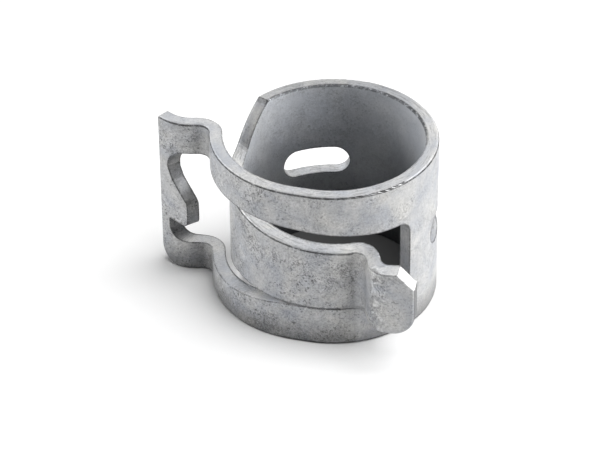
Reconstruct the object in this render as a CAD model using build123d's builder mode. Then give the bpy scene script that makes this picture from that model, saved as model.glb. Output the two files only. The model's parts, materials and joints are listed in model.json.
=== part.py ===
from build123d import *
from math import cos, radians, sin
import os

# Spring hose clamp: one strip of hardened spring steel, stamped to its outline, rolled into a ring
# and zinc coated. The middle of the strip is the full-width band. One end is slotted into two legs
# that join again in the leg ear. The other end narrows to a tongue, runs through the window between
# the legs and ends in the tongue ear. Squeezing the ears together opens the ring.
# Millimetres. The ring's axis is Z, and the ring stands on its edge at z = 0.
# Angles are read in plan, in degrees, counterclockwise from +X.

# Strip and ring
bore_diameter = 12.2
strip_thickness = 0.9
band_width = 12.0
band_start_angle = 130.0
outer_edge_rounding = 0.18
inner_edge_break = 0.08

# Hose slots in the band, just below its middle
slot_height = 2.1
slot_offset = 0.15
slot_sweep = 24.5
back_slot_angle = 101.6
side_slot_angle = -2.3

# Window between the legs
window_end_angle = -44.2
window_corner_radius = 1.0
window_end_length = 3.0
window_joint_angle = 20.0
upper_leg_root = 3.3
upper_leg_end = 2.38
lower_leg_root = 2.92
lower_leg_end = 2.25
lower_leg_taper_start = -3.6
lower_leg_taper_end = -7.3

# Legs, followed clockwise from where they leave the ring
leg_leaving_angle = -104.9
leg_lead_length = 1.05
leg_bend_radius = 6.89

# Leg ear
leg_ear_root_radius = 1.25
leg_ear_flat = 0.35
leg_ear_curl_radius = 2.45
leg_ear_curl_angle = 44.0
leg_ear_tip_length = 0.53
leg_ear_upper_corner = 0.3
leg_ear_lower_corner = 1.5

# Catch finger in the leg ear, measured from where the ear's curl ends and up from its own lower edge
finger_rise = 1.7
finger_reach = 2.12
finger_tip_height = 1.9
finger_shoulder_reach = 0.75
finger_shoulder_height = 3.35
finger_root_height = 4.3
finger_root_depth = 0.3
finger_tip_lower_radius = 0.45
finger_tip_upper_radius = 0.9
finger_shoulder_radius = 0.8
recess_reach = 0.32
recess_upper_corner_radius = 1.3
recess_lower_corner_radius = 1.1
recess_length = 4.0
finger_side_angle = 32.0

# Tongue. Its drops are measured down from the band's upper edge
tongue_gap = 0.07
tongue_end_angle = 279.7
taper_middle_angle = 146.0
taper_middle_drop = 1.05
taper_slope = 43.6
taper_corner_angle = 160.0
taper_corner_radius = 1.6
tongue_root_drop = 2.61
tongue_middle_drop = 3.7
tongue_end_drop = 4.43
tongue_middle_angle = 215.0
tongue_bottom_drop = 0.51

# Tongue ear
tongue_ear_root_radius = 1.25
tongue_ear_root_angle = 87.0
tongue_ear_riser = 0.43
tongue_ear_outer_radius = 1.1
tongue_ear_outer_angle = 64.3
tongue_ear_flat = 1.9
tongue_ear_drop = 4.48
tongue_ear_bottom = 2.55
tongue_ear_step_clearance = 0.3
tongue_ear_step_length = 1.4
tongue_ear_chamfer = 1.15
tongue_ear_corner_radius = 1.55

mid_radius = bore_diameter / 2 + strip_thickness / 2
outer_radius = bore_diameter / 2 + strip_thickness
clear = 4 * strip_thickness
tongue_top_root = band_width - tongue_root_drop
tongue_top_middle = band_width - tongue_middle_drop
tongue_top_end = band_width - tongue_end_drop


def on_ring(angle, height):
    """Point on the ring's middle surface."""
    return Vector(mid_radius * cos(radians(angle)), mid_radius * sin(radians(angle)), height)


def outward(angle):
    """Direction that points away from the ring's axis."""
    return Vector(cos(radians(angle)), sin(radians(angle)), 0)


def onward(angle):
    """Direction counterclockwise along the ring."""
    return Vector(-sin(radians(angle)), cos(radians(angle)), 0)


def upward_plane(a, b, c):
    """Plane through three points, facing up."""
    normal = (b - a).cross(c - a)
    if normal.Z < 0:
        normal = -normal
    return Plane(origin=a, x_dir=b - a, z_dir=normal)


def raised_to(plane, point):
    """The point, moved up or down until it lies in the plane."""
    drop = (point - plane.origin).dot(plane.z_dir) / plane.z_dir.Z
    return point - Vector(0, 0, drop)


def slot_cutter(middle_angle):
    """Slot with round ends, punched through the ring towards its axis."""
    middle_height = band_width / 2 - slot_offset
    with BuildPart() as cutter:
        with BuildSketch(Plane.XZ) as slot_section:
            with Locations((mid_radius, middle_height)):
                Rectangle(clear, slot_height)
        revolve(axis=Axis.Z, revolution_arc=slot_sweep)
        for end_angle in (0, slot_sweep):
            with BuildSketch(Plane(origin=(0, 0, middle_height), z_dir=outward(end_angle))):
                Circle(slot_height / 2)
            extrude(amount=outer_radius + clear)
    return cutter.part.rotate(Axis.Z, middle_angle - slot_sweep / 2)


# Middle line of the band, a leg and the leg ear, clockwise, seen from above
with BuildLine() as leg_line:
    band_arc = ThreePointArc(
        on_ring(band_start_angle, 0),
        on_ring((band_start_angle + leg_leaving_angle) / 2, 0),
        on_ring(leg_leaving_angle, 0),
    )
    lead = PolarLine(band_arc @ 1, leg_lead_length, direction=band_arc % 1)
    leg_turn = leg_leaving_angle + 180
    leg_arc = JernArc(lead @ 1, lead % 1, leg_bend_radius, -leg_turn)
    ear_root = JernArc(leg_arc @ 1, leg_arc % 1, leg_ear_root_radius, 90)
    ear_flat = PolarLine(ear_root @ 1, leg_ear_flat, direction=ear_root % 1)
    ear_curl = JernArc(ear_flat @ 1, ear_flat % 1, leg_ear_curl_radius, -leg_ear_curl_angle)
    ear_tip = PolarLine(ear_curl @ 1, leg_ear_tip_length, direction=ear_curl % 1)

# Middle line of the tongue ear, counterclockwise from where it leaves the ring
with BuildLine() as tongue_ear_line:
    riser_bend = JernArc(
        on_ring(tongue_end_angle, 0),
        onward(tongue_end_angle),
        tongue_ear_root_radius,
        -tongue_ear_root_angle,
    )
    riser = PolarLine(riser_bend @ 1, tongue_ear_riser, direction=riser_bend % 1)
    plate_bend = JernArc(riser @ 1, riser % 1, tongue_ear_outer_radius, tongue_ear_outer_angle)
    plate = PolarLine(plate_bend @ 1, tongue_ear_flat, direction=plate_bend % 1)

# Cutter for the window: its round-cornered end, punched towards the axis, and its long open part
window_end_plane = Plane(
    origin=(0, 0, 0), x_dir=onward(window_end_angle), z_dir=outward(window_end_angle)
)
upper_edge_right = band_width - upper_leg_root
upper_edge_left = band_width - upper_leg_end
window_joint = outer_radius * cos(radians(window_end_angle - window_joint_angle))
window_left = (ear_root @ 0.7).X
with BuildPart() as window_cutter:
    with BuildSketch(window_end_plane) as window_end_view:
        with Locations((0, lower_leg_root)):
            Rectangle(
                window_end_length, upper_edge_right - lower_leg_root, align=(Align.MAX, Align.MIN)
            )
        fillet(window_end_view.vertices().group_by(Axis.X)[-1], window_corner_radius)
    extrude(amount=outer_radius + clear)
    with BuildSketch(Plane.XZ.offset(-clear)) as window_view:
        with BuildLine():
            Polyline(
                (window_joint, lower_leg_root),
                (lower_leg_taper_start, lower_leg_root),
                (lower_leg_taper_end, lower_leg_end),
                (window_left, lower_leg_end),
                (window_left, upper_edge_left),
                (window_joint, upper_edge_right),
                close=True,
            )
        make_face()
    extrude(amount=outer_radius + 2 * clear)

# Leg ear, seen square to the front of its tip: the rest of the window, the tip's corners and the
# catch finger. The finger's sheared side and the window's end lean away from square.
finger_heading = -(ear_curl % 1)
finger_normal = finger_heading.cross(Vector(0, 0, 1))
finger_plane = Plane(
    origin=(ear_curl @ 1) + finger_normal * (strip_thickness / 2),
    x_dir=finger_heading,
    z_dir=finger_normal,
)
shear_direction = outward(finger_side_angle)
shear_length = strip_thickness / abs(shear_direction.dot(finger_normal))
with BuildPart() as leg_ear_cutter:
    with BuildSketch(finger_plane) as recess_view:
        with Locations((recess_reach, lower_leg_end)):
            Rectangle(
                recess_length, upper_edge_left - lower_leg_end, align=(Align.MIN, Align.MIN)
            )
        fillet(recess_view.vertices().sort_by_distance((0, 0))[0], recess_lower_corner_radius)
        fillet(
            recess_view.vertices().sort_by_distance((recess_reach, upper_edge_left))[0],
            recess_upper_corner_radius,
        )
    extrude(amount=clear, dir=shear_direction, both=True)
    with BuildSketch(finger_plane) as tip_corner_view:
        with Locations((-leg_ear_tip_length, 0)):
            Rectangle(leg_ear_lower_corner, leg_ear_lower_corner, align=(Align.MIN, Align.MIN))
        with Locations((-leg_ear_tip_length, band_width)):
            Rectangle(leg_ear_upper_corner, leg_ear_upper_corner, align=(Align.MIN, Align.MAX))
        with Locations((leg_ear_lower_corner - leg_ear_tip_length, leg_ear_lower_corner)):
            Circle(leg_ear_lower_corner, mode=Mode.SUBTRACT)
        with Locations((leg_ear_upper_corner - leg_ear_tip_length, band_width - leg_ear_upper_corner)):
            Circle(leg_ear_upper_corner, mode=Mode.SUBTRACT)
    extrude(amount=clear / 2, both=True)

finger_bottom = lower_leg_end + finger_rise
finger_tip_top = finger_bottom + finger_tip_height
finger_shoulder_top = finger_bottom + finger_shoulder_height
finger_root_top = finger_bottom + finger_root_height
with BuildPart() as finger:
    with BuildSketch(finger_plane) as finger_view:
        with BuildLine():
            Polyline(
                (-finger_root_depth, finger_bottom),
                (finger_reach, finger_bottom),
                (finger_reach, finger_tip_top),
                (finger_shoulder_reach, finger_shoulder_top),
                (recess_reach, finger_root_top),
                (-finger_root_depth, finger_root_top),
                close=True,
            )
        make_face()
        for corner, corner_radius in (
            ((finger_reach, finger_bottom), finger_tip_lower_radius),
            ((finger_reach, finger_tip_top), finger_tip_upper_radius),
            ((finger_shoulder_reach, finger_shoulder_top), finger_shoulder_radius),
        ):
            fillet(finger_view.vertices().sort_by_distance(corner)[0], corner_radius)
    extrude(amount=shear_length, dir=shear_direction)

# Planes that the tongue's edges lie in
tongue_top_plane = upward_plane(
    on_ring(taper_corner_angle, tongue_top_root),
    on_ring(tongue_middle_angle, tongue_top_middle),
    on_ring(tongue_end_angle, tongue_top_end),
)
tongue_bottom_plane = upward_plane(
    on_ring(taper_corner_angle, tongue_root_drop - tongue_bottom_drop),
    on_ring(tongue_middle_angle, tongue_middle_drop - tongue_bottom_drop),
    on_ring(tongue_end_angle, tongue_end_drop - tongue_bottom_drop),
)
tongue_level = lower_leg_root + tongue_gap
tongue_middle_height = (tongue_level + tongue_top_end) / 2
taper_outward = outward(taper_middle_angle)
taper_rise = Vector(0, 0, sin(radians(taper_slope)))
taper_run = onward(taper_middle_angle) * cos(radians(taper_slope))
upper_taper_plane = Plane(
    origin=on_ring(taper_middle_angle, band_width - taper_middle_drop),
    x_dir=taper_outward,
    z_dir=taper_outward.cross(taper_run - taper_rise),
)
lower_taper_plane = Plane(
    origin=on_ring(taper_middle_angle, taper_middle_drop),
    x_dir=taper_outward,
    z_dir=taper_outward.cross(taper_run + taper_rise),
)

with BuildPart() as above_tongue:
    with Locations((0, 0, band_width / 2)):
        Box(4 * outer_radius, 4 * outer_radius, 2 * band_width)
    split(bisect_by=upper_taper_plane, keep=Keep.TOP)
    split(bisect_by=tongue_top_plane, keep=Keep.TOP)
    taper_corner = above_tongue.edges().sort_by_distance(on_ring(taper_corner_angle, tongue_top_root))[0]
    fillet(taper_corner, taper_corner_radius)

with BuildPart() as below_tongue:
    with Locations((0, 0, band_width / 2)):
        Box(4 * outer_radius, 4 * outer_radius, 2 * band_width)
    split(bisect_by=lower_taper_plane, keep=Keep.BOTTOM)
    split(bisect_by=tongue_bottom_plane, keep=Keep.BOTTOM)
    taper_corner = below_tongue.edges().sort_by_distance(
        on_ring(taper_corner_angle, tongue_root_drop - tongue_bottom_drop)
    )[0]
    fillet(taper_corner, taper_corner_radius)
    split(bisect_by=Plane.XY.offset(tongue_level), keep=Keep.BOTTOM)

with BuildPart() as tongue:
    with BuildSketch() as tongue_plan:
        with BuildLine() as tongue_line:
            CenterArc((0, 0), mid_radius, band_start_angle, tongue_end_angle - band_start_angle)
        trace(tongue_line.line, strip_thickness)
    extrude(amount=band_width)
    add(above_tongue.part, mode=Mode.SUBTRACT)
    add(below_tongue.part, mode=Mode.SUBTRACT)

# Tongue ear: its top slants on from the tongue's, its lower edge steps down in front of the lower leg
plate_middle = plate @ 0.5
tongue_ear_top_plane = upward_plane(
    raised_to(tongue_top_plane, outward(tongue_end_angle) * (bore_diameter / 2)),
    raised_to(tongue_top_plane, outward(tongue_end_angle) * outer_radius),
    Vector(plate_middle.X, plate_middle.Y, band_width - tongue_ear_drop),
)
step_start = outer_radius + tongue_ear_step_clearance
step_end = step_start + tongue_ear_step_length
with BuildPart() as tongue_ear:
    with BuildSketch() as tongue_ear_plan:
        trace(tongue_ear_line.line, strip_thickness)
    extrude(amount=band_width)
    split(bisect_by=tongue_ear_top_plane, keep=Keep.BOTTOM)
    with BuildSketch(Plane.YZ) as step_view:
        with BuildLine():
            Polyline(
                (0, 0),
                (0, tongue_level),
                (-step_start, tongue_level),
                (-step_end, tongue_ear_bottom),
                (-2 * outer_radius, tongue_ear_bottom),
                (-2 * outer_radius, 0),
                close=True,
            )
        make_face()
    extrude(amount=2 * outer_radius, mode=Mode.SUBTRACT)
    plate_direction = plate % 1
    end_face = tongue_ear.faces().sort_by(Axis((0, 0, 0), tuple(plate_direction)))[-1]
    chamfer(end_face.edges().sort_by(Axis.Z)[-1], tongue_ear_chamfer)
    end_face = tongue_ear.faces().sort_by(Axis((0, 0, 0), tuple(plate_direction)))[-1]
    fillet(end_face.edges().sort_by(Axis.Z)[0], tongue_ear_corner_radius)

# The whole clamp
with BuildPart() as clamp_band:
    with BuildSketch() as leg_plan:
        trace(leg_line.line, strip_thickness)
    extrude(amount=band_width)
    add(window_cutter.part, mode=Mode.SUBTRACT)
    add(leg_ear_cutter.part, mode=Mode.SUBTRACT)
    add(slot_cutter(back_slot_angle), mode=Mode.SUBTRACT)
    add(slot_cutter(side_slot_angle), mode=Mode.SUBTRACT)
    add(finger.part)
    add(tongue.part)
    add(tongue_ear.part)
    # Edges worn in tumbling: round on the strip's outer side, and only broken on its inner side
    rim = clamp_band.edges().group_by(Axis.Z)[-1].sort_by(SortBy.LENGTH)
    tongue_top = clamp_band.faces().sort_by_distance(on_ring(tongue_middle_angle, tongue_top_middle))[0]
    plate_front = (plate @ 0.5) + Vector(0, -strip_thickness / 2, tongue_middle_height)
    plate_face = clamp_band.faces().sort_by_distance(plate_front)[0]
    plate_end_edges = plate_face.edges().sort_by(Axis((0, 0, 0), tuple(plate % 1)))[-3:]
    fillet(
        [rim[-1], tongue_top.edges().sort_by(SortBy.LENGTH)[-1]] + plate_end_edges,
        outer_edge_rounding,
    )
    rim = clamp_band.edges().group_by(Axis.Z)[-1].sort_by(SortBy.LENGTH)
    chamfer(rim[-2], inner_edge_break)

clamp_band.part.label = "clamp_band"

os.makedirs("parts", exist_ok=True)
export_step(clamp_band.part, "parts/clamp_band.step")
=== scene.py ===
import bpy
import json
from math import pi, radians
from mathutils import Matrix, Vector

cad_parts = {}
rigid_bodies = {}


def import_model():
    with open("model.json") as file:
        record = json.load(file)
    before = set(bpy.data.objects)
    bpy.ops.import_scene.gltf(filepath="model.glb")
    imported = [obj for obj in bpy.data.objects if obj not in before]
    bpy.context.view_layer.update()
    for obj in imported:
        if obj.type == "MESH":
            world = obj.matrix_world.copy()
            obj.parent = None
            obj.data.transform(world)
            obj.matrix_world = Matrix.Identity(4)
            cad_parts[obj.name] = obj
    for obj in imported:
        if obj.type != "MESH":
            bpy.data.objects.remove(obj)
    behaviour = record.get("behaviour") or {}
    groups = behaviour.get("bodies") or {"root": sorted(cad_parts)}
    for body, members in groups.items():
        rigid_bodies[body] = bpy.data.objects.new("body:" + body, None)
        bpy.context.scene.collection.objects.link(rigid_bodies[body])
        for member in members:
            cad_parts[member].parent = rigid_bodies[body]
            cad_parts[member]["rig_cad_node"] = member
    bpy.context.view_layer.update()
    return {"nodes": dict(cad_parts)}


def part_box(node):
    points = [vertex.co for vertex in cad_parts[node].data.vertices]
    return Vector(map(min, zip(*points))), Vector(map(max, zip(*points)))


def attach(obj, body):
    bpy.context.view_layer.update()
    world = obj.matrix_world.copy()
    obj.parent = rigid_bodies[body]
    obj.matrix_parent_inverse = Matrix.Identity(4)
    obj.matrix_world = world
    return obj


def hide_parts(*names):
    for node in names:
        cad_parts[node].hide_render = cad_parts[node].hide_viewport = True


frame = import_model()

# Clamp band: one strip of spring steel, stamped to its outline, rolled into a ring and hardened, then
# coated with dull, cloudy zinc. Nothing is fastened to it, and its two ears are its own ends. Its
# mesh is a copy of the CAD solid's, with the flat faces joined up.
bore_radius = 0.0061
outer_radius = 0.007
lowest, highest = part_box("clamp_band")
band_width = highest[2] - lowest[2]
merge_distance = 0.000001
flat_angle = radians(0.4)
shading_angle = radians(35)
strip_node = frame["nodes"]["clamp_band"]

bpy.ops.object.select_all(action="DESELECT")
bpy.context.view_layer.objects.active = strip_node
strip_node.select_set(True)
bpy.ops.object.duplicate()
strip = bpy.context.view_layer.objects.active
strip.name = "coated_strip"
del strip["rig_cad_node"]
bpy.ops.object.mode_set(mode="EDIT")
bpy.ops.mesh.select_all(action="SELECT")
bpy.ops.mesh.remove_doubles(threshold=merge_distance)
bpy.ops.mesh.customdata_custom_splitnormals_clear()
bpy.ops.mesh.dissolve_limited(angle_limit=flat_angle)
bpy.ops.mesh.normals_make_consistent(inside=False)
bpy.ops.object.mode_set(mode="OBJECT")
bpy.ops.object.shade_smooth_by_angle(angle=shading_angle)
flat_faces = strip.modifiers.new("flat_faces", "WEIGHTED_NORMAL")
flat_faces.keep_sharp = True
bpy.ops.object.modifier_apply(modifier=flat_faces.name)

# The ring's two round faces shade as true cylinders, not as facets
facet_depth = 0.00003
least_lean = 0.99
round_normals = [Vector(corner.vector) for corner in strip.data.corner_normals]
for face in strip.data.polygons:
    face_radius = face.center.xy.length
    lean = face.normal.xy.dot(face.center.xy) / face_radius
    off_ring = min(abs(face_radius - bore_radius), abs(face_radius - outer_radius))
    if abs(lean) > least_lean and off_ring < facet_depth:
        outward = 1 if lean > 0 else -1
        for corner in face.loop_indices:
            corner_place = strip.data.vertices[strip.data.loops[corner].vertex_index].co.xy
            round_normals[corner] = (corner_place.normalized() * outward).to_3d()
strip.data.normals_split_custom_set(round_normals)
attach(strip, "root")
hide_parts("clamp_band")

# The coating: dull grey zinc, partly bare metal and partly chalky
metalness = 0.6
coating = bpy.data.materials.new("dull_zinc_coating")
coating.use_nodes = True
strip.data.materials.clear()
strip.data.materials.append(coating)
nodes = coating.node_tree.nodes
links = coating.node_tree.links
shader = nodes["Principled BSDF"]
shader.inputs["Metallic"].default_value = metalness
place = nodes.new("ShaderNodeTexCoord").outputs["Object"]
surface = nodes.new("ShaderNodeNewGeometry").outputs


# The helpers add their nodes to the tree that nodes and links name at the time
def plug(value, socket):
    """Puts a number or another node's output into a socket."""
    if isinstance(value, (int, float)):
        socket.default_value = value
    else:
        links.new(value, socket)


def noise(scale, detail, roughness=0.5, warp=0.0, at=place):
    """Noise at a place, by default the strip's own; scale is in cycles a metre."""
    texture = nodes.new("ShaderNodeTexNoise")
    texture.inputs["Scale"].default_value = scale
    texture.inputs["Detail"].default_value = detail
    texture.inputs["Roughness"].default_value = roughness
    texture.inputs["Distortion"].default_value = warp
    links.new(at, texture.inputs["Vector"])
    return texture.outputs["Fac"]


def calc(operation, a, b=0.0):
    """Result of a sum with one or two numbers or outputs."""
    node = nodes.new("ShaderNodeMath")
    node.operation = operation
    plug(a, node.inputs[0])
    plug(b, node.inputs[1])
    return node.outputs[0]


def fade(value, start, end, low=0.0, high=1.0, curve="LINEAR"):
    """Goes from low to high while the value goes from start to end."""
    node = nodes.new("ShaderNodeMapRange")
    node.interpolation_type = curve
    plug(value, node.inputs["Value"])
    plug(start, node.inputs["From Min"])
    plug(end, node.inputs["From Max"])
    plug(low, node.inputs["To Min"])
    plug(high, node.inputs["To Max"])
    return node.outputs["Result"]


def all_of(*masks):
    """Mask of what lies in every one of the masks."""
    common = masks[0]
    for mask in masks[1:]:
        common = calc("MULTIPLY", common, mask)
    return common


def within(mask, factor):
    """The factor inside the mask, and 1 outside it."""
    return fade(mask, 0, 1, 1, factor)


def ramp(value, stops):
    """Colour ramp with the given (position, colour) stops."""
    node = nodes.new("ShaderNodeValToRGB")
    while len(node.color_ramp.elements) < len(stops):
        node.color_ramp.elements.new(0.5)
    for element, (position, colour) in zip(node.color_ramp.elements, stops):
        element.position = position
        element.color = (*colour, 1)
    links.new(value, node.inputs["Fac"])
    return node.outputs["Color"]


def vector_calc(operation, a, b=None):
    """A vector node with one or two inputs; b is an output or three numbers."""
    node = nodes.new("ShaderNodeVectorMath")
    node.operation = operation
    links.new(a, node.inputs[0])
    if isinstance(b, tuple):
        node.inputs[1].default_value = b
    elif b is not None:
        links.new(b, node.inputs[1])
    return node


def split(vector):
    """The three parts of a vector."""
    node = nodes.new("ShaderNodeSeparateXYZ")
    links.new(vector, node.inputs["Vector"])
    return node.outputs


# Where a point of the strip lies, and which way its surface faces. Each pair of numbers below is
# where a mask is 0 and where it is 1, in metres for places and as a share of 1 for directions.
x, y, z = split(place)
facing_x, facing_y, facing_z = split(surface["True Normal"])
from_ring_axis = calc("SQRT", calc("ADD", calc("MULTIPLY", x, x), calc("MULTIPLY", y, y)))
outward_lean = calc("ADD", calc("MULTIPLY", x, facing_x), calc("MULTIPLY", y, facing_y))
outward_lean = calc("DIVIDE", outward_lean, from_ring_axis)
levelness = calc("ABSOLUTE", facing_z)

# Inside the ring: smoother, and less worn. The bore also gets painted light all over and more towards the
# left, and painted shade low down and towards the right
facing_in = (-0.3, -0.7)
in_bore = (bore_radius + 0.0005, bore_radius + 0.0002)
inside = all_of(fade(outward_lean, *facing_in), fade(from_ring_axis, *in_bore))
low_down = (0.0095, 0.003)
low_inside_shade = all_of(inside, fade(z, *low_down))
towards_right = (-0.001, 0.005)
right_inside_shade = all_of(inside, fade(x, *towards_right))
towards_left = (-0.0025, -0.005)
left_inside_light = all_of(inside, fade(x, *towards_left))

# Stamped faces, which lie level: the ring's rim, and the ledges along the window and the tongue
# They get painted light, as if lit from above, the ledges most; the rim is darker towards the back
level = (0.55, 0.85)
stamped_face = fade(levelness, *level)
rolled_face = within(stamped_face, 0)
rim_height = (band_width - 0.00028, band_width - 0.00022)
at_top = fade(z, *rim_height)
rim = all_of(stamped_face, at_top)
towards_back = (0.002, 0.006)
far_rim = all_of(rim, fade(y, *towards_back))
ledge_from = (0.0035, 0.0045)
ledge_to = (band_width - 0.0015, band_width - 0.0025)
ledge = all_of(stamped_face, fade(z, *ledge_from), fade(z, *ledge_to))

# The bend where the tongue turns out into its ear, and the flank of that bend
bend_left = (0.0004, 0.0008)
bend_right = (0.0024, 0.0019)
bend_front = (-0.0060, -0.0064)
bend_top = (0.0074, 0.0070)
tongue_bend = all_of(
    fade(x, *bend_left), fade(x, *bend_right), fade(y, *bend_front), fade(z, *bend_top)
)
flank_left = (0.0014, 0.0017)
flank_right = (0.0026, 0.0022)
flank_back = (-0.0066, -0.0069)
flank_front = (-0.0084, -0.0080)
bend_flank = all_of(
    fade(x, *flank_left), fade(x, *flank_right), fade(y, *flank_back), fade(y, *flank_front)
)

# Edges: the shading rounds them a little, and the tongue's bend more. Where the rounded normal turns
# away from the face's own, there is an edge, which gathers dirt.
edge_rounding = 0.0002
bend_rounding = 0.0007
edge_samples = 6
softened = nodes.new("ShaderNodeBevel")
softened.samples = edge_samples
links.new(fade(tongue_bend, 0, 1, edge_rounding, bend_rounding), softened.inputs["Radius"])
agreement = vector_calc("DOT_PRODUCT", softened.outputs["Normal"], surface["Normal"])
turned_away = (0.985, 0.91)
bend_core = 0.2
edge_line = all_of(
    fade(agreement.outputs["Value"], *turned_away), fade(tongue_bend, 0, bend_core, 1, 0)
)
ring_outside = (outer_radius + 0.0002, outer_radius + 0.0001)
facing_out = (0.15, 0.35)
on_ring_face = all_of(fade(from_ring_axis, *ring_outside), fade(outward_lean, *facing_out))
leaning_at_all = (0.04, 0.2)
not_yet_level = (0.8, 0.6)
broken_edge = all_of(
    fade(levelness, *leaning_at_all), fade(levelness, *not_yet_level), calc("MAXIMUM", on_ring_face, at_top)
)
bore_edge_radius = (bore_radius + 0.00022, bore_radius + 0.0001)
bore_edge_height = (band_width - 0.0002, band_width - 0.0001)
bore_edge_back = (-0.002, 0.001)
bore_edge = all_of(
    fade(from_ring_axis, *bore_edge_radius), fade(z, *bore_edge_height), fade(y, *bore_edge_back)
)
edge_line = calc("MAXIMUM", calc("MAXIMUM", broken_edge, bore_edge), edge_line)

# Cut ends: the strip's slanted end at the ring, the window's end, the tongue ear's end and the
# sloping side of the catch finger
across_ring = (0.4, 0.2)
cut_across = fade(calc("ABSOLUTE", outward_lean), *across_ring)
ring_reach = (outer_radius + 0.0005, outer_radius + 0.0002)
on_ring = fade(from_ring_axis, *ring_reach)
ring_left = (0.0, -0.001)
slanted = (0.9, 0.75)
strip_end = all_of(cut_across, on_ring, fade(x, *ring_left), fade(levelness, *slanted))
# The window's end gets painted light
window_right = (0.0030, 0.0035)
near_upright = (0.5, 0.3)
lit_window_end = all_of(cut_across, on_ring, fade(x, *window_right), fade(levelness, *near_upright))
ear_front = (-0.0080, -0.0083)
end_facing = (0.6, 0.8)
end_upright = (0.3, 0.1)
ear_end = all_of(fade(facing_x, *end_facing), fade(y, *ear_front), fade(levelness, *end_upright))
# The catch finger's slope gets painted shade
leg_ear_left = (-0.0075, -0.0079)
slope_right = (0.1, 0.3)
slope_front = (0.2, 0.0)
slope_up = (0.1, 0.4)
shaded_finger_slope = all_of(
    fade(facing_x, *slope_right), fade(facing_y, *slope_front), fade(facing_z, *slope_up),
    fade(x, *leg_ear_left)
)

# Painted shade in the narrow places and low down near the floor, and the right-hand side, which is rubbed
# clean
crevice_reach = 0.002
crevice_samples = 6
sheltering = nodes.new("ShaderNodeAmbientOcclusion")
sheltering.samples = crevice_samples
sheltering.inputs["Distance"].default_value = crevice_reach
hemmed_in = (0.97, 0.65)
flank_share = 0.2
crevice_shade = all_of(fade(sheltering.outputs["AO"], *hemmed_in), rolled_face, within(bend_flank, flank_share))
foot_height = (0.0028, 0.0008)
foot_shade = all_of(fade(z, *foot_height), rolled_face)
rubbed_from = (0.0015, 0.005)
rubbed = fade(x, *rubbed_from)
dull_from = (0.004, 0.0065)
dull_side = fade(x, *dull_from)

# Zinc's own pattern: bluish and yellowish clouds, finer mottle and grain, and less of it all where
# the strip is calm, smooth, stamped or rubbed
cloud_colours = [
    (0.30, (0.36, 0.375, 0.405)),
    (0.50, (0.445, 0.449, 0.457)),
    (0.70, (0.53, 0.526, 0.512)),
]
noise_middle = 0.5
cloud_inside = 0.4
wear_inside = 0.45
wear_where_calm = 0.55
wear_where_stamped = 0.42
wear_where_rubbed = 0.45
cloud = calc("SUBTRACT", noise(scale=450, detail=4, roughness=0.6, warp=0.5), noise_middle)
cloud = calc("MULTIPLY", cloud, within(inside, cloud_inside))
clouds = ramp(calc("ADD", cloud, noise_middle), cloud_colours)
calm = fade(noise(scale=380, detail=3), start=0.40, end=0.62)
wear = all_of(
    within(inside, wear_inside), within(calm, wear_where_calm),
    within(stamped_face, wear_where_stamped), within(rubbed, wear_where_rubbed)
)
mottle = fade(noise(scale=1600, detail=4, roughness=0.7), start=0.28, end=0.72, low=-0.18, high=0.18)
grain = fade(noise(scale=7000, detail=3, roughness=0.8), start=0.32, end=0.62, low=-0.40, high=0.22)
tone = calc("ADD", calc("MULTIPLY", calc("ADD", mottle, grain), wear), 1)

# Dark dots and hair-thin veins
dot = fade(noise(scale=6200, detail=2, roughness=0.6), start=0.56, end=0.62)
dotted = fade(noise(scale=700, detail=4, roughness=0.7), start=0.47, end=0.56)
vein = calc("SUBTRACT", noise(scale=800, detail=7, roughness=0.75, warp=0.8), noise_middle)
vein = fade(calc("ABSOLUTE", vein), start=0.018, end=0.005)
veined = fade(noise(scale=500, detail=2), start=0.46, end=0.58)
marks = all_of(calc("MAXIMUM", all_of(dot, dotted), all_of(vein, veined)), wear)

# Streaks that run along the ring's stamped edges, as the shearing left them
streak_thinness = 9
streak_radius = 0.0065
streak_level = (0.5, 1)
streak_reach = (outer_radius + 0.0002, outer_radius)
along_ring = nodes.new("ShaderNodeCombineXYZ")
plug(calc("MULTIPLY", from_ring_axis, streak_thinness), along_ring.inputs["X"])
plug(calc("MULTIPLY", calc("ARCTAN2", y, x), streak_radius), along_ring.inputs["Y"])
plug(z, along_ring.inputs["Z"])
streak = noise(scale=900, detail=4, roughness=0.7, at=along_ring.outputs["Vector"])
streak = fade(streak, start=0.52, end=0.60)
streaks = all_of(streak, fade(stamped_face, *streak_level), fade(from_ring_axis, *streak_reach))

# Hammer blows on the tongue's ear, dirt along the edges, and painted glints on the edges of level faces
blows_left = (0.0022, 0.0025)
blows_right = (0.0037, 0.0031)
hammered = all_of(fade(x, *blows_left), fade(x, *blows_right), fade(y, *ear_front))
blows = noise(scale=1700, detail=3, roughness=0.6, warp=1.2)
blow_tone = calc("MULTIPLY", hammered, fade(blows, start=0.38, end=0.62, low=-0.38, high=0.22))
tone = calc("MULTIPLY", tone, calc("ADD", 1, blow_tone))
dirt_pattern = fade(noise(scale=2300, detail=5, roughness=0.9), start=0.38, end=0.50)
edge_dirt = all_of(edge_line, dirt_pattern)
glint_pattern = fade(noise(scale=2900, detail=5, roughness=0.9), start=0.56, end=0.62)
edge_glint = all_of(edge_line, stamped_face, glint_pattern)

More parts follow.
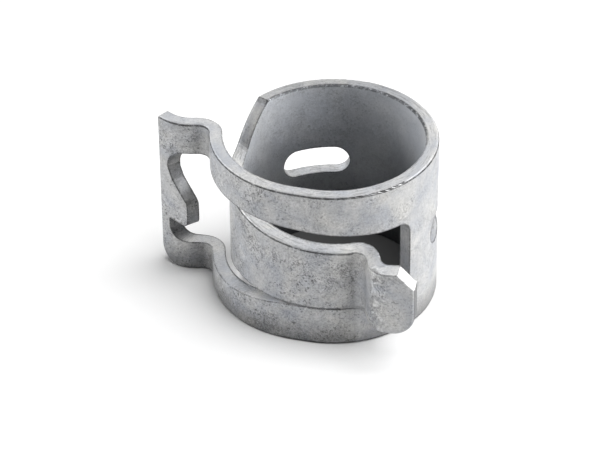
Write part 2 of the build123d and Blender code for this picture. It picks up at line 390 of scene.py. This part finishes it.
# How bright each place is next to the plain coating
brightness = [
    (marks, 0.30),
    (streaks, 0.72),
    # painted light on the level faces, and more on the ledges
    (stamped_face, 1.42),
    (ledge, 1.25),
    (strip_end, 0.58),
    # painted shade on the finger's slope
    (shaded_finger_slope, 0.62),
    # painted light on the window's end
    (lit_window_end, 1.35),
    (ear_end, 0.35),
    # painted shade in the narrow places and low down near the floor
    (crevice_shade, 0.54),
    (foot_shade, 0.88),
    (broken_edge, 0.80),
    (edge_dirt, 0.28),
    # painted glints
    (edge_glint, 1.30),
    # painted light on the rim, which is darker towards the back
    (rim, 1.08),
    (far_rim, 0.76),
    # painted light all over the bore and towards its left, painted shade low in it and towards its right
    (inside, 1.30),
    (low_inside_shade, 0.44),
    (right_inside_shade, 0.74),
    (left_inside_light, 1.14),
]
for mask, factor in brightness:
    tone = calc("MULTIPLY", tone, within(mask, factor))
toned = vector_calc("SCALE", clouds)
links.new(tone, toned.inputs["Scale"])
untinted = (1, 1, 1)
bluish = (0.98, 1.0, 1.03)
inside_tint = ramp(inside, [(0, untinted), (1, bluish)])
tinted = vector_calc("MULTIPLY", toned.outputs["Vector"], inside_tint)
links.new(tinted.outputs["Vector"], shader.inputs["Base Color"])

# Dull all over, most at the edges and on the right-hand side
edge_dullness = 0.3
side_dullness = 0.2
dullness = fade(noise(scale=1500, detail=4, roughness=0.6), start=0.3, end=0.7, low=0.38, high=0.54)
dullness = calc("ADD", dullness, calc("MULTIPLY", edge_line, edge_dullness))
dullness = calc("ADD", dullness, calc("MULTIPLY", dull_side, side_dullness))
links.new(dullness, shader.inputs["Roughness"])

# Fine grain, shallow waves and hammer blows, by their depth
grain_depth = 0.00003
wave_depth = 0.00012
blow_depth = 0.00022
dent_strength = 0.6
dents_inside = 0.5
fine_grain = calc("MULTIPLY", noise(scale=6000, detail=4, roughness=0.6), grain_depth)
waves = calc("MULTIPLY", noise(scale=700, detail=3), wave_depth)
blow_dents = calc("MULTIPLY", all_of(blows, hammered), blow_depth)
dents = calc("ADD", calc("ADD", fine_grain, waves), blow_dents)
bump = nodes.new("ShaderNodeBump")
bump.inputs["Strength"].default_value = dent_strength
bump.inputs["Distance"].default_value = 1.0
links.new(calc("MULTIPLY", dents, within(inside, dents_inside)), bump.inputs["Height"])
links.new(softened.outputs["Normal"], bump.inputs["Normal"])
links.new(bump.outputs["Normal"], shader.inputs["Normal"])

# Floor: a plain sheet of white paper that the clamp stands on. It keeps the clamp's soft shadow,
# with a painted soft shadow added near the clamp, lies in painted deep shade inside the ring, and
# passes into the white backdrop further out.
floor_size = 4.0
paper_roughness = 0.9
floor_colour = 0.8
bounced_colour = 0.35
near_glow = 0.25
backdrop_glow = 1.0
backdrop_from = (0.03, 0.15)
shelter_reach = 0.004
shelter_samples = 8
open_to_sky = (0.4, 0.9)
ring_shade = (bore_radius + 0.0001, bore_radius + 0.0005)
shade_colours = (0.09, 0.5)
lit_heading = (-0.5, -0.87, 0)
lit_from = -0.003
bpy.ops.mesh.primitive_plane_add(size=floor_size)
floor = bpy.context.view_layer.objects.active
floor.name = "floor"
paper = bpy.data.materials.new("white_paper")
paper.use_nodes = True
floor.data.materials.append(paper)
nodes = paper.node_tree.nodes
links = paper.node_tree.links
paper_shader = nodes["Principled BSDF"]
paper_shader.inputs["Roughness"].default_value = paper_roughness
paper_shader.inputs["Specular IOR Level"].default_value = 0.0
paper_shader.inputs["Emission Color"].default_value = (1, 1, 1, 1)


def seen_directly():
    """1 for the camera's rays and for rays off or through the object's gloss, else 0."""
    light_path = nodes.new("ShaderNodeLightPath").outputs
    seen_or_mirrored = calc("MAXIMUM", light_path["Is Camera Ray"], light_path["Is Glossy Ray"])
    return calc("MAXIMUM", seen_or_mirrored, light_path["Is Transmission Ray"])


seen = seen_directly()
floor_place = nodes.new("ShaderNodeTexCoord").outputs["Object"]
from_axis = vector_calc("LENGTH", floor_place).outputs["Value"]
outside_ring = fade(from_axis, *ring_shade)
# Painted shade on the floor inside the ring, lighter towards the side the light comes from
towards_light = vector_calc("DOT_PRODUCT", floor_place, lit_heading).outputs["Value"]
shaded = fade(towards_light, lit_from, ring_shade[0], *shade_colours, curve="SMOOTHSTEP")
pale = fade(seen, 0, 1, bounced_colour, floor_colour)
near_colour = fade(outside_ring, 0, 1, shaded, pale)
links.new(fade(from_axis, *backdrop_from, near_colour, 0), paper_shader.inputs["Base Color"])
# The glow is held back where the clamp shelters the floor: a painted soft shadow
shelter = nodes.new("ShaderNodeAmbientOcclusion")
shelter.samples = shelter_samples
shelter.inputs["Distance"].default_value = shelter_reach
openness = fade(shelter.outputs["AO"], *open_to_sky)
glow = all_of(openness, outside_ring, fade(from_axis, *backdrop_from, near_glow, backdrop_glow), seen)
links.new(glow, paper_shader.inputs["Emission Strength"])

# Surroundings: a white studio wall behind the clamp, darker overhead and towards the camera's side.
# It gives the clamp hardly any light: the metal mirrors it, and the camera sees plain white.
studio_level = 0.02
wall_level = 1.0
room_level = 0.1
wall_side = (-0.2, 0.4)
world = bpy.data.worlds.new("studio")
bpy.context.scene.world = world
world.use_nodes = True
nodes = world.node_tree.nodes
links = world.node_tree.links
background = nodes["Background"]
background.inputs["Color"].default_value = (1, 1, 1, 1)
heading = split(nodes.new("ShaderNodeTexCoord").outputs["Generated"])
wall = fade(heading["Y"], *wall_side, room_level, wall_level, curve="SMOOTHSTEP")
white_wall = calc("MAXIMUM", wall, nodes.new("ShaderNodeLightPath").outputs["Is Camera Ray"])
links.new(fade(seen_directly(), 0, 1, studio_level, white_wall), background.inputs["Strength"])

# Lamps: wide soft ones low down at the right and the left, which light the clamp alone, and one
# overhead, which lights the floor alone
lamp_target = Vector((0, 0, band_width / 2))
right_lamp_place = (0.38, -0.075, 0.157)
right_lamp_size = (0.45, 0.32)
right_lamp_watts = 3.65
left_lamp_place = (-0.402, 0, 0.123)
left_lamp_size = (0.25, 0.2)
left_lamp_watts = 1.9
floor_lamp_place = (0.145, -0.02, 0.395)
floor_lamp_size = (0.4, 0.4)
floor_lamp_watts = 2.75


def soft_lamp(name, lamp_place, size, watts, lit):
    """Area lamp that faces the clamp's middle and lights only the objects in lit."""
    bpy.ops.object.light_add(type="AREA", location=lamp_place)
    lamp = bpy.context.view_layer.objects.active
    lamp.name = name
    lamp.data.shape = "RECTANGLE"
    lamp.data.size, lamp.data.size_y = size
    lamp.data.energy = watts
    lamp.rotation_euler = (Vector(lamp_place) - lamp_target).to_track_quat("Z", "Y").to_euler()
    lamp.light_linking.receiver_collection = lit


clamp_alone = bpy.data.collections.new("clamp_alone")
clamp_alone.objects.link(strip)
floor_alone = bpy.data.collections.new("floor_alone")
floor_alone.objects.link(floor)
soft_lamp("right_lamp", right_lamp_place, right_lamp_size, right_lamp_watts, clamp_alone)
soft_lamp("left_lamp", left_lamp_place, left_lamp_size, left_lamp_watts, clamp_alone)
soft_lamp("floor_lamp", floor_lamp_place, floor_lamp_size, floor_lamp_watts, floor_alone)

# Camera: the photograph's view, from in front and 36 degrees above
camera_place = Vector((0, -0.171115, 0.130134))
camera_turn = 0.0133
camera_dip = 0.6324
camera_roll = -0.0103
camera_lens = 188.59
nearest_seen = 0.01
bpy.ops.object.camera_add()
camera = bpy.context.view_layer.objects.active
camera.data.lens = camera_lens
camera.data.clip_start = nearest_seen
camera.matrix_world = (
    Matrix.Translation(camera_place)
    @ Matrix.Rotation(camera_turn, 4, "Z")
    @ Matrix.Rotation(pi / 2 - camera_dip, 4, "X")
    @ Matrix.Rotation(camera_roll, 4, "Z")
)
bpy.context.scene.camera = camera
bpy.context.scene.view_settings.view_transform = "Standard"
